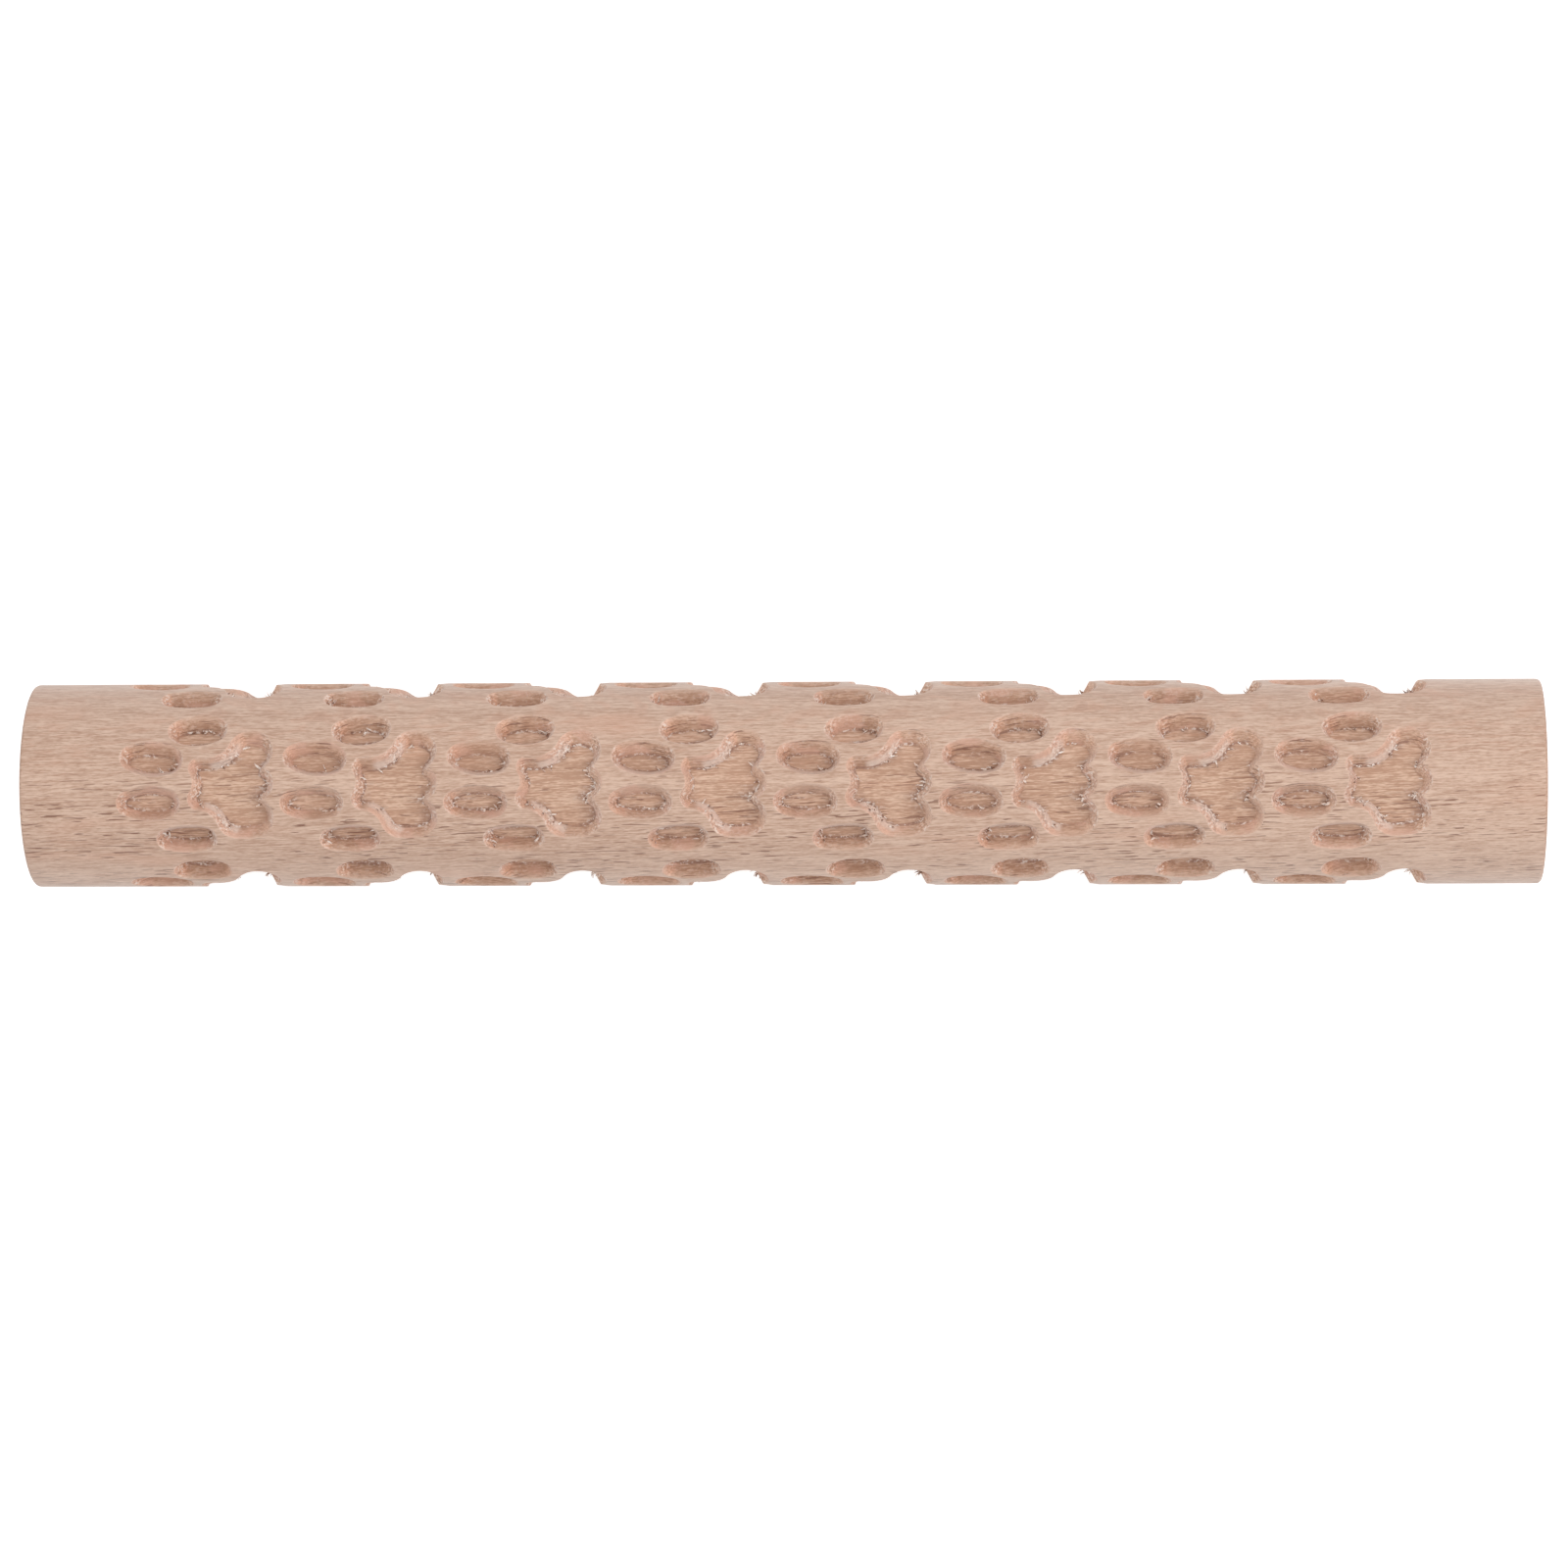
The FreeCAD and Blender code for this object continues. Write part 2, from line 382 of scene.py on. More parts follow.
# %% Shake the walls and the floors a little
wall_shake = 0.035
floor_shake = 0.02
near = 1e-3
walls = pick(tile, "VERT", lambda vertex: wall_top - 10 * near < vertex.co.y < floor_depth - 10 * near)
bpy.ops.transform.vertex_random(offset=wall_shake, uniform=1.0, seed=3)
leave_edit()
floors = pick(tile, "VERT", lambda vertex: vertex.co.y > floor_depth - near)
bpy.ops.transform.vertex_random(offset=floor_shake, uniform=0.0, normal=1.0, seed=5)
leave_edit()
print("shaken points:", walls, "on walls,", floors, "on floors")

# %% [markdown]
# ## From one paw to the whole face
# Two Array modifiers repeat the tile: eight times along the dowel and four times up, and each copy is welded
# to the one beside it. The sheet is then as high as the dowel is round.

# %% Array the tile
def apply_modifiers(piece):
    make_active(piece)
    for modifier in list(piece.modifiers):
        bpy.ops.object.modifier_apply(modifier=modifier.name)


def array(piece, count, step):
    modifier = piece.modifiers.new("array", "ARRAY")
    modifier.count = count
    modifier.use_relative_offset = False
    modifier.use_constant_offset = True
    modifier.constant_offset_displace = step
    modifier.use_merge_vertices = True
    modifier.merge_threshold = near


array(tile, paw_columns, (paw_pitch, 0.0, 0.0))
array(tile, paw_rows, (0.0, 0.0, row_height))
apply_modifiers(tile)
pick(tile, "VERT", lambda vertex: True)
bpy.ops.transform.translate(value=(first_paw_x, 0.0, 0.0))
leave_edit()
print("the carved sheet has", triangles(tile), "triangles")

# %% [markdown]
# ## Plain bands and end faces
# The sheet's left and right edges are extruded out to the ends of the dowel, over the small rounding of the
# end edge, and then straight down into the wood as far as the dowel's middle. When the sheet is rolled up,
# those last strips close like a fan into the two flat end faces. A few rings on the way down keep the fan's
# faces short.

# %% Extrude the bands and the ends
band_shares = (0.33, 0.66, 1.0)
end_steps = 5
face_rings = [0.9, 2.2, 4.0, 6.0, 8.0]


def end_profile(band_edge, end):
    """Points (x, depth) from the edge of the pattern over the end's rounding to the middle of the dowel."""
    side = 1.0 if end > band_edge else -1.0
    band = end - side * end_round - band_edge
    points = [(band_edge + band * share, 0.0) for share in band_shares]
    for i in range(1, end_steps + 1):
        turn = math.pi / 2 * i / end_steps
        points.append((end - side * end_round * (1 - math.sin(turn)), end_round * (1 - math.cos(turn))))
    points += [(end, ring) for ring in face_rings]
    points.append((end, rod_radius))
    return points


def extrude_end(piece, band_edge, end):
    pick(piece, "EDGE", lambda edge: all(abs(corner.co.x - band_edge) < near for corner in edge.verts))
    x, depth = band_edge, 0.0
    for next_x, next_depth in end_profile(band_edge, end):
        step = (next_x - x, next_depth - depth, 0.0)
        bpy.ops.mesh.extrude_region_move(TRANSFORM_OT_translate={"value": step})
        x, depth = next_x, next_depth
    leave_edit()


sheet_left = min(vertex.co.x for vertex in tile.data.vertices)
sheet_right = max(vertex.co.x for vertex in tile.data.vertices)
extrude_end(tile, sheet_left, -rod_length / 2)
extrude_end(tile, sheet_right, rod_length / 2)
print("bands of", round(sheet_left + rod_length / 2, 2), "and", round(rod_length / 2 - sheet_right, 2), "mm")

# %% [markdown]
# ## Roll the sheet up
# A Simple Deform modifier set to Bend turns the sheet through a full circle. Its height becomes the way
# round, and its depth becomes the distance below the round face, so every pocket keeps its true depth. The
# first and last edges meet and are welded, the fans' tips are welded in the middle of the ends, and the
# finished dowel is turned so that the first row faces up, and shrunk to metres.

# %% Bend, weld, turn and shrink
bend = tile.modifiers.new("roll", "SIMPLE_DEFORM")
bend.deform_method = "BEND"
bend.deform_axis = "X"
bend.angle = 2 * math.pi
apply_modifiers(tile)
tile.location = (0.0, 0.0, rod_radius)
tile.rotation_euler = (-math.pi / 2, 0.0, 0.0)
bpy.ops.object.transform_apply(location=False, rotation=True, scale=False)
bpy.ops.object.transform_apply(location=True, rotation=False, scale=False)
pick(tile, "VERT", lambda vertex: True)
bpy.ops.mesh.remove_doubles(threshold=2 * near)
bpy.ops.mesh.normals_make_consistent(inside=False)
leave_edit()
tile.scale = (MM, MM, MM)
bpy.ops.object.transform_apply(location=False, rotation=False, scale=True)
make_active(tile)
sharpest_smooth = math.radians(40)
bpy.ops.object.shade_smooth_by_angle(angle=sharpest_smooth)
open_edges = pick(tile, "EDGE", lambda edge: len(edge.link_faces) != 2)
leave_edit()
print("dowel's sides in mm:", [round(side / MM, 3) for side in tile.dimensions])
print("triangles", triangles(tile), "open edges", open_edges)
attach(tile, "root")
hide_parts("pattern_roller")

# %% [markdown]
# ## Torn fibres
# Where the cutter met the ends of the fibres, it did not part them all: some are left standing, as pale
# splinters a few tenths of a millimetre long. One splinter is modelled, from a small bar whose end is
# extruded, narrowed and lifted twice, and the rest are copies of it, each turned and sized by chance with a
# fixed seed.

# %% One splinter
def torn_splinter():
    """A curled splinter 1 mm long, its root at the origin and its tip along +x and up."""
    deselect_all()
    bpy.ops.mesh.primitive_cube_add(size=1.0)
    splinter = bpy.context.object
    splinter.name = "torn_fibres"
    splinter.data.name = "torn_fibres"
    splinter.scale = (0.4, 0.2, 0.13)
    splinter.location = (0.2, 0.0, 0.0)
    bpy.ops.object.transform_apply(location=True, rotation=True, scale=True)
    pick(splinter, "FACE", lambda face: face.normal.x > 0.9)
    for reach, lift in ((0.32, 0.07), (0.28, 0.16)):
        bpy.ops.mesh.extrude_region_move(TRANSFORM_OT_translate={"value": (reach, 0.0, lift)})
        bpy.ops.transform.resize(value=(1.0, 0.6, 0.6))
    leave_edit()
    return splinter


splinter = torn_splinter()
print("one splinter has", triangles(splinter), "triangles")

# %% [markdown]
# A pocket's wall is a row of arcs, counted clockwise from its left end. A tear is a stretch of one arc: which
# pocket, which arc, between which shares of it, between which shares of the depth, and how many splinters.
# They grow out of the wall and lean away from it.

# %% Where the wood tore
tears = [
    (0, 2, 0.45, 1.0, 0.75, 1.0, 4), (0, 3, 0.0, 0.25, 0.85, 1.0, 3), (0, 0, 0.1, 0.9, 0.9, 1.0, 2),
    (1, 2, 0.45, 1.0, 0.6, 1.0, 6), (1, 3, 0.0, 0.3, 0.8, 1.0, 4), (1, 0, 0.0, 0.5, 0.5, 1.0, 5),
    (2, 2, 0.0, 0.6, 0.6, 1.0, 5), (2, 1, 0.2, 1.0, 0.92, 1.0, 6),
    (3, 0, 0.0, 1.0, 0.3, 1.0, 14), (3, 2, 0.2, 1.0, 0.5, 1.0, 7),
    (4, 1, 0.0, 1.0, 0.88, 1.0, 5), (4, 2, 0.0, 0.3, 0.9, 1.0, 3), (4, 3, 0.0, 1.0, 0.7, 1.0, 5),
    (4, 5, 0.0, 1.0, 0.7, 1.0, 5), (4, 8, 0.0, 1.0, 0.6, 1.0, 5), (4, 9, 0.0, 1.0, 0.25, 1.0, 11),
    (4, 10, 0.0, 0.5, 0.4, 1.0, 3), (4, 11, 0.0, 1.0, 0.5, 1.0, 4), (4, 4, 0.3, 0.7, 0.9, 1.0, 2),
]


def wall_place(arc, share, down):
    """A point (x, y) on an arc's wall, at shares of the arc and of the depth, and the way out of the wall."""
    x, y, arc_radius, start, end = arc
    angle = start + (end - start) * share
    reach = abs(arc_radius - wall_run * down)
    inward = angle + math.pi if arc_radius > 0 else angle
    return x + reach * math.cos(angle), y + reach * math.sin(angle) + floor_shift * down, inward


def splinter_matrix(paw_x, paw_turn, arc, share, down):
    x, y, inward = wall_place(arc, share, down)
    along_grain = 0.0 if math.cos(inward) > 0.0 else math.pi
    yaw = along_grain + random.gauss(0.0, 0.5) + 0.4 * math.sin(inward - along_grain)
    length = MM * random.uniform(0.3, 0.85) * (0.5 + 0.5 * down)
    width = MM * random.uniform(0.45, 1.0)
    sunk = carve_depth * down + 0.02
    stand = Matrix.Rotation(paw_turn - y / rod_radius, 4, "X")
    stand = stand @ Matrix.Translation(MM * Vector((paw_x + x, 0.0, rod_radius - sunk)))
    turned = Matrix.Rotation(yaw, 4, "Z") @ Matrix.Rotation(-random.uniform(0.0, 0.9), 4, "Y")
    turned = turned @ Matrix.Rotation(random.uniform(-0.6, 0.6), 4, "X")
    return stand @ turned @ Matrix.Diagonal((length, width, width, 1.0))


random.seed(11)
quarter_turn = 2 * math.pi / paw_rows
splinters = []
for row in range(paw_rows):
    for column in range(paw_columns):
        paw_x = first_paw_x + column * paw_pitch
        for pocket, arc_number, low_share, high_share, low_down, high_down, count in tears:
            arc = paw_outlines[pocket][arc_number]
            for i in range(random.randint(count // 3, count)):
                twin = splinter.copy()
                twin.data = splinter.data.copy()
                share = random.uniform(low_share, high_share)
                down = random.uniform(low_down, high_down)
                twin.matrix_world = splinter_matrix(paw_x, -row * quarter_turn, arc, share, down)
                bpy.context.scene.collection.objects.link(twin)
                splinters.append(twin)
print("splinters:", len(splinters))

# %% Join the splinters into one piece
bpy.data.objects.remove(splinter)
deselect_all()
for twin in splinters:
    twin.select_set(True)
fibres_piece = splinters[0]
bpy.context.view_layer.objects.active = fibres_piece
bpy.ops.object.join()
bpy.ops.object.transform_apply(location=True, rotation=True, scale=True)
fibres_piece.name = "torn_fibres"
fibres_piece.data.name = "torn_fibres"
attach(fibres_piece, "root")
print("torn fibres:", triangles(fibres_piece), "triangles")

# %% [markdown]
# ## Materials: helpers for node trees
# Materials are built from nodes, and every one of them reads Object coordinates, so the pattern is carved out
# of solid wood and runs on over rims, walls and ends. A short helper adds a node, sets its inputs and joins
# it to others, so that a recipe reads from top to bottom.

# %% Node helpers
def node(tree, kind, settings=None, **inputs):
    """Adds a node. Settings are its own options; an input is a value or another node's output."""
    made = tree.nodes.new(kind)
    for name, value in (settings or {}).items():
        setattr(made, name, value)
    for name, value in inputs.items():
        socket = made.inputs[int(name[1:])] if name[0] == "i" and name[1:].isdigit() else made.inputs[name]
        if isinstance(value, bpy.types.NodeSocket):
            tree.links.new(value, socket)
        else:
            socket.default_value = value
    return made


def maths(tree, operation, first, second=0.0, third=0.0, clamp=False):
    settings = {"operation": operation, "use_clamp": clamp}
    return node(tree, "ShaderNodeMath", settings, i0=first, i1=second, i2=third).outputs[0]


def multiply(tree, first, second):
    return maths(tree, "MULTIPLY", first, second)


def vector_maths(tree, operation, first, second=(0.0, 0.0, 0.0)):
    return node(tree, "ShaderNodeVectorMath", {"operation": operation}, i0=first, i1=second)


def blend_colour(tree, amount, first, second, mode="MIX"):
    settings = {"data_type": "RGBA", "blend_type": mode}
    return node(tree, "ShaderNodeMix", settings, i0=amount, i6=first, i7=second).outputs[2]


def tinted(tree, amount, colour, tint):
    """The colour, multiplied by a tint as far as the mask says."""
    return blend_colour(tree, amount, colour, tint, "MULTIPLY")


def ramp(tree, value, low, high, out_low=0.0, out_high=1.0, smooth=True):
    """Maps a value from low..high to out_low..out_high and stops at both ends."""
    settings = {"interpolation_type": "SMOOTHSTEP" if smooth else "LINEAR"}
    made = node(tree, "ShaderNodeMapRange", settings, i0=value, i1=low, i2=high, i3=out_low, i4=out_high)
    return made.outputs[0]


def noise(tree, vector, scale, detail=2.0, roughness=0.5):
    settings = {"noise_dimensions": "3D"}
    made = node(tree, "ShaderNodeTexNoise", settings, Vector=vector, Scale=scale, Detail=detail,
                Roughness=roughness)
    return made.outputs["Fac"]


def stretched(tree, vector, scales):
    return vector_maths(tree, "MULTIPLY", vector, scales).outputs[0]


def stretched_noise(tree, vector, scales, detail=2.0, roughness=0.5):
    return noise(tree, stretched(tree, vector, scales), 1.0, detail, roughness)


def new_group(name, inputs, outputs):
    """An empty node group with its named inputs (kind, name, value) and outputs (kind, name)."""
    group = bpy.data.node_groups.new(name, "ShaderNodeTree")
    for kind, label, value in inputs:
        socket = group.interface.new_socket(name=label, in_out="INPUT", socket_type=kind)
        socket.default_value = value
    for kind, label in outputs:
        group.interface.new_socket(name=label, in_out="OUTPUT", socket_type=kind)
    return group, group.nodes.new("NodeGroupInput"), group.nodes.new("NodeGroupOutput")


def new_material(name, colour):
    material = bpy.data.materials.new(name)
    material.use_nodes = True
    material.diffuse_color = (*colour, 1.0)
    material.node_tree.nodes.clear()
    return material, material.node_tree


# %% [markdown]
# ## Where on the carving a point lies
# The finish changes with the place: sanded land, rim with pale fuzz and a painted highlight, torn wall, clean
# floor, sawn end. A point's distance from the dowel's axis says how deep it is, and the angle between its
# normal and the way straight out says whether it is on a wall. A group works these masks out once. Each is a
# number from 0 to 1, and a ramp makes its edge soft.

# %% Node group: depth, wall, rim and foot
FLOAT, COLOUR = "NodeSocketFloat", "NodeSocketColor"

zones, zones_in, zones_out = new_group(
    "carving_zones",
    [(FLOAT, "Dowel Radius", rod_radius * MM), (FLOAT, "Carve Depth", carve_depth * MM),
     (FLOAT, "Half Length", rod_length / 2 * MM)],
    [(FLOAT, "Depth"), (FLOAT, "Wall"), (FLOAT, "Rim"), (FLOAT, "Foot Line"), (FLOAT, "Across Grain"),
     (FLOAT, "Toe Side"), (FLOAT, "Pad Flank"), (FLOAT, "End Face")],
)
place = node(zones, "ShaderNodeTexCoord")
normal = place.outputs["Normal"]
x, y, z = node(zones, "ShaderNodeSeparateXYZ", i0=place.outputs["Object"]).outputs
from_axis = node(zones, "ShaderNodeCombineXYZ", i0=0.0, i1=y, i2=z).outputs[0]
distance = vector_maths(zones, "LENGTH", from_axis).outputs["Value"]
outward = vector_maths(zones, "NORMALIZE", from_axis).outputs[0]
facing = vector_maths(zones, "DOT_PRODUCT", normal, outward).outputs["Value"]
below = maths(zones, "SUBTRACT", zones_in.outputs["Dowel Radius"], distance)
depth_share = maths(zones, "DIVIDE", below, zones_in.outputs["Carve Depth"], clamp=True)
from_end = maths(zones, "SUBTRACT", zones_in.outputs["Half Length"], maths(zones, "ABSOLUTE", x))
end_face = ramp(zones, from_end, 0.0001, 0.0003, 1.0, 0.0)
not_end = maths(zones, "SUBTRACT", 1.0, end_face)
wall = multiply(zones, ramp(zones, facing, 0.97, 0.72), not_end)
rim = multiply(zones, ramp(zones, facing, 0.998, 0.985), ramp(zones, depth_share, 0.15, 0.06))
rim = multiply(zones, rim, ramp(zones, from_end, 0.0004, 0.0006))
foot_line = multiply(zones, ramp(zones, depth_share, 0.82, 0.92), ramp(zones, facing, 0.992, 0.93))
foot_line = multiply(zones, foot_line, not_end)
print("zones group so far:", len(zones.nodes), "nodes")

# %% [markdown]
# A wall that faces along the dowel was cut across the grain, and one that faces round it was cut along the
# grain, so the x part of the normal tells them apart. Its sign tells the toe side of a pocket from its heel
# side. The pad's two slanting flanks are picked by their place in the paw: Wrap counts x afresh in each paw.

# %% Node group: sides of a pocket
flank_start, flank_full = 0.0048, 0.0056
flank_fading, flank_end = 0.0082, 0.0092
normal_x = node(zones, "ShaderNodeSeparateXYZ", i0=normal).outputs[0]
across_grain = multiply(zones, ramp(zones, maths(zones, "ABSOLUTE", normal_x), 0.28, 0.66), wall)
toe_side = multiply(zones, ramp(zones, normal_x, 0.2, 0.5), wall)
in_paw = maths(zones, "SUBTRACT", x, first_paw_x * MM)
in_paw = maths(zones, "WRAP", in_paw, tile_right * MM, tile_left * MM)
beside_pad = multiply(zones, ramp(zones, in_paw, flank_start, flank_full),
                      ramp(zones, in_paw, flank_end, flank_fading))
pad_flank = multiply(zones, multiply(zones, ramp(zones, normal_x, 0.0, 0.16), wall), beside_pad)
masks = {
    "Depth": multiply(zones, depth_share, not_end), "Wall": wall, "Rim": rim, "Foot Line": foot_line,
    "Across Grain": across_grain, "Toe Side": toe_side, "Pad Flank": pad_flank, "End Face": end_face,
}
for label, mask in masks.items():
    zones.links.new(mask, zones_out.inputs[label])
print("zones group:", len(zones.nodes), "nodes,", len(masks), "masks")

# %% [markdown]
# ## Beech
# Beech is pale and pinkish, with no bold figure. What gives it away are its rays: thin upright sheets that
# run out from the middle of the tree. Cut across, a ray shows as a short dark dash along the grain; cut
# lengthwise, as a faint wide flake. So the recipe first turns the space into the tree's own directions: along
# the trunk, out from the pith, and round the rings. Noise stretched differently along the three gives dashes
# on one side of the dowel, flakes on the next and fine radial lines on the ends, all from one solid pattern.

# %% Node group: the tree's own directions
pith_turn = math.radians(-42)
trunk_skew = -0.04
wander = 0.0004
beech, beech_in, beech_out = new_group(
    "beech_grain",
    [(COLOUR, "Light Wood", (0.69, 0.49, 0.38, 1.0)), (COLOUR, "Dark Wood", (0.47, 0.285, 0.20, 1.0)),
     (COLOUR, "Ray", (0.20, 0.085, 0.05, 1.0)), (COLOUR, "Blush", (0.64, 0.36, 0.25, 1.0)),
     (FLOAT, "Ray Amount", 1.0), (FLOAT, "Grain Amount", 1.0)],
    [(COLOUR, "Colour"), (FLOAT, "Height"), (FLOAT, "Roughness")],
)
place = node(beech, "ShaderNodeTexCoord")
trunk, trunk_normal = [
    node(beech, "ShaderNodeMapping", {"vector_type": "POINT"}, Vector=place.outputs[name],
         Rotation=(pith_turn, 0.0, trunk_skew)).outputs[0]
    for name in ("Object", "Normal")
]
cut = node(beech, "ShaderNodeSeparateXYZ", i0=trunk_normal).outputs
cut_round = maths(beech, "ABSOLUTE", cut[1])
cut_radial = maths(beech, "ABSOLUTE", cut[2])
print("directions:", len(beech.nodes), "nodes")

# %% [markdown]
# The grain wanders slightly from a straight line along the trunk. Then come the noises: long thin ones for
# the fibres, wide slow ones for the year rings and the blush, and flat upright ones for the rays. A ray is
# drawn only where its noise passes a threshold, and the threshold itself drifts, so the rays come in flocks.

# %% Node group: noises
drift = node(beech, "ShaderNodeTexNoise", {"noise_dimensions": "3D"},
             Vector=stretched(beech, trunk, (26.0, 110.0, 110.0)), Scale=1.0, Detail=2.0).outputs["Color"]
drift = vector_maths(beech, "SUBTRACT", drift, (0.5, 0.5, 0.5)).outputs[0]
drift = stretched(beech, drift, (0.0, wander, wander))
grain_place = vector_maths(beech, "ADD", trunk, drift).outputs[0]
fibres = stretched_noise(beech, grain_place, (330.0, 6200.0, 6200.0), 2.0, 0.6)
fine_fibres = stretched_noise(beech, grain_place, (1500.0, 9000.0, 9000.0), 1.0, 0.6)
rings = stretched_noise(beech, grain_place, (6.0, 60.0, 700.0), 2.0, 0.55)
patches = stretched_noise(beech, trunk, (60.0, 260.0, 260.0))
ray_noise = stretched_noise(beech, grain_place, (420.0, 6000.0, 420.0), 1.0, 0.4)
ray_places = stretched_noise(beech, trunk, (70.0, 420.0, 420.0), 1.0)
ray_edge = ramp(beech, ray_places, 0.35, 0.62, 0.72, 0.60)
rays = ramp(beech, ray_noise, ray_edge, maths(beech, "ADD", ray_edge, 0.035))
dashes = multiply(beech, rays, ramp(beech, cut_radial, 0.45, 0.98, 0.15, 1.0))
flakes = multiply(beech, ramp(beech, ray_noise, 0.5, 0.66), ramp(beech, cut_round, 0.55, 1.0, 0.0, 0.25))
print("with the noises:", len(beech.nodes), "nodes")

# %% [markdown]
# The fibres and rings together decide between light and dark wood, and the blush, the flakes and the dashes
# are laid over it. The height goes down where the wood is soft, so the grain can be felt a little.

# %% Node group: colour, height and roughness
tone = maths(beech, "ADD", multiply(beech, fibres, 0.72), multiply(beech, rings, 0.28))
tone = maths(beech, "ADD", multiply(beech, fine_fibres, 0.5), tone)
tone = ramp(beech, tone, 0.61, 0.90, smooth=False)
tone = multiply(beech, tone, beech_in.outputs["Grain Amount"])
blush = beech_in.outputs["Blush"]
wood = blend_colour(beech, tone, beech_in.outputs["Light Wood"], beech_in.outputs["Dark Wood"])
wood = blend_colour(beech, ramp(beech, patches, 0.56, 0.8, 0.0, 0.4), wood, blush)
wood = blend_colour(beech, flakes, wood, blush)
dash_share = multiply(beech, multiply(beech, dashes, beech_in.outputs["Ray Amount"]), 0.8)
wood = blend_colour(beech, dash_share, wood, beech_in.outputs["Ray"])
relief = maths(beech, "ADD", multiply(beech, fine_fibres, -0.6), multiply(beech, dashes, -0.6))
relief = maths(beech, "ADD", relief, multiply(beech, fibres, -0.5))
beech.links.new(wood, beech_out.inputs["Colour"])
beech.links.new(relief, beech_out.inputs["Height"])
beech.links.new(ramp(beech, fibres, 0.3, 0.7, 0.56, 0.70), beech_out.inputs["Roughness"])
print("beech group:", len(beech.nodes), "nodes")

# %% [markdown]
# ## The dowel's finish
# The same wood looks different on each zone. A tint is a colour that the wood is multiplied by, so the grain
# shows through it. The walls along the grain are tinted a little pinker and darker than the land, the
# darkness being painted shade of the pocket, and a painted shade darkens them again towards the foot. The
# walls across the grain are lighter, because their torn fibres scatter the light.

# %% Material: milled walls and floors
milled_tint = (1.02, 0.985, 0.94, 1.0)
side_wall_pink_and_shade = (0.96, 0.92, 0.895, 1.0)
wall_foot_shade_tint = (0.88, 0.86, 0.85, 1.0)
toe_side_tint = (1.20, 1.09, 1.05, 1.0)
heel_side_tint = (1.18, 1.16, 1.14, 1.0)
dowel_material, tree = new_material("carved_beech", (0.63, 0.43, 0.33))
zone = node(tree, "ShaderNodeGroup", {"node_tree": zones}).outputs
wall, across, depth = zone["Wall"], zone["Across Grain"], zone["Depth"]
milled = ramp(tree, depth, 0.02, 0.5)
grain_amount = maths(tree, "ADD", multiply(tree, milled, 0.55), multiply(tree, wall, -0.25))
grain_amount = maths(tree, "ADD", grain_amount, 1.0)
grain = node(tree, "ShaderNodeGroup", {"node_tree": beech}, **{"Grain Amount": grain_amount}).outputs
side_wall = maths(tree, "SUBTRACT", wall, across, clamp=True)
heel_side = maths(tree, "SUBTRACT", across, zone["Toe Side"], clamp=True)
colour = tinted(tree, milled, grain["Colour"], milled_tint)
# Walls along the grain: a little pinker, and darker as painted shade of the pocket.
colour = tinted(tree, side_wall, colour, side_wall_pink_and_shade)
# Painted shade: the walls darken towards the foot, deep in the pocket.
colour = tinted(tree, multiply(tree, wall, ramp(tree, depth, 0.2, 0.95)), colour, wall_foot_shade_tint)
colour = tinted(tree, zone["Toe Side"], colour, toe_side_tint)
colour = tinted(tree, heel_side, colour, heel_side_tint)
print("milled finish:", len(tree.nodes), "nodes")

# %% [markdown]
# Fresh cuts in beech blush unevenly, so soft patches of the walls are pinker. The pad's two flanks, cut
# aslant to the grain, are pink near the rim and furred with pale fibre along the foot.

# %% Material: blush and pale flanks
wall_blush = (0.72, 0.42, 0.32, 1.0)
flank_blush = (0.74, 0.46, 0.35, 1.0)
flank_fur = (0.84, 0.70, 0.62, 1.0)
place = node(tree, "ShaderNodeTexCoord").outputs["Object"]
blush_places = stretched_noise(tree, place, (300.0, 480.0, 480.0), 1.0)
blushing = multiply(tree, wall, ramp(tree, blush_places, 0.5, 0.66, 0.0, 0.45))
high_flank = multiply(tree, zone["Pad Flank"], ramp(tree, depth, 0.6, 0.3, 0.0, 0.45))
low_flank = multiply(tree, zone["Pad Flank"], ramp(tree, depth, 0.3, 0.6, 0.0, 0.5))
colour = blend_colour(tree, blushing, colour, wall_blush)
colour = blend_colour(tree, high_flank, colour, flank_blush)
colour = blend_colour(tree, low_flank, colour, flank_fur)
print("with the blush:", len(tree.nodes), "nodes")

# %% [markdown]
# Where a wall cuts across the grain, and along the foot of every wall, the fibres tore instead of parting.
# That leaves pale specks of fibre and small pits, in flocks; the pits are drawn as dark specks of painted
# shade. One fine noise makes the specks and one coarse noise says where they gather. The same places get a
# painted dark line of shade at the foot.

# %% Material: torn places
light_speck = (0.92, 0.84, 0.78, 1.0)
pit_shade_speck = (0.22, 0.11, 0.075, 1.0)
foot_dark = (0.36, 0.20, 0.14, 1.0)
foot_line = zone["Foot Line"]
specks = stretched_noise(tree, place, (2600.0, 3600.0, 3600.0), 2.0, 0.65)
torn_places = stretched_noise(tree, place, (420.0, 420.0, 420.0), 1.0)
torn_share = maths(tree, "ADD", multiply(tree, across, 0.6), multiply(tree, wall, 0.15))
torn_share = maths(tree, "ADD", torn_share, multiply(tree, foot_line, 0.6), clamp=True)
torn = multiply(tree, torn_share, ramp(tree, torn_places, 0.36, 0.56, 0.12, 1.0))
light_specks = multiply(tree, ramp(tree, specks, 0.54, 0.60), torn)
pit_shade_specks = multiply(tree, ramp(tree, specks, 0.46, 0.40), torn)
foot_shade = multiply(tree, foot_line, ramp(tree, torn_places, 0.42, 0.60, 0.25, 0.95))
colour = blend_colour(tree, foot_shade, colour, foot_dark)
colour = blend_colour(tree, multiply(tree, light_specks, 0.85), colour, light_speck)
# Painted shade of the small pits where fibres tore out, drawn as dark specks.
colour = blend_colour(tree, multiply(tree, pit_shade_specks, 0.6), colour, pit_shade_speck)
print("with the torn places:", len(tree.nodes), "nodes")
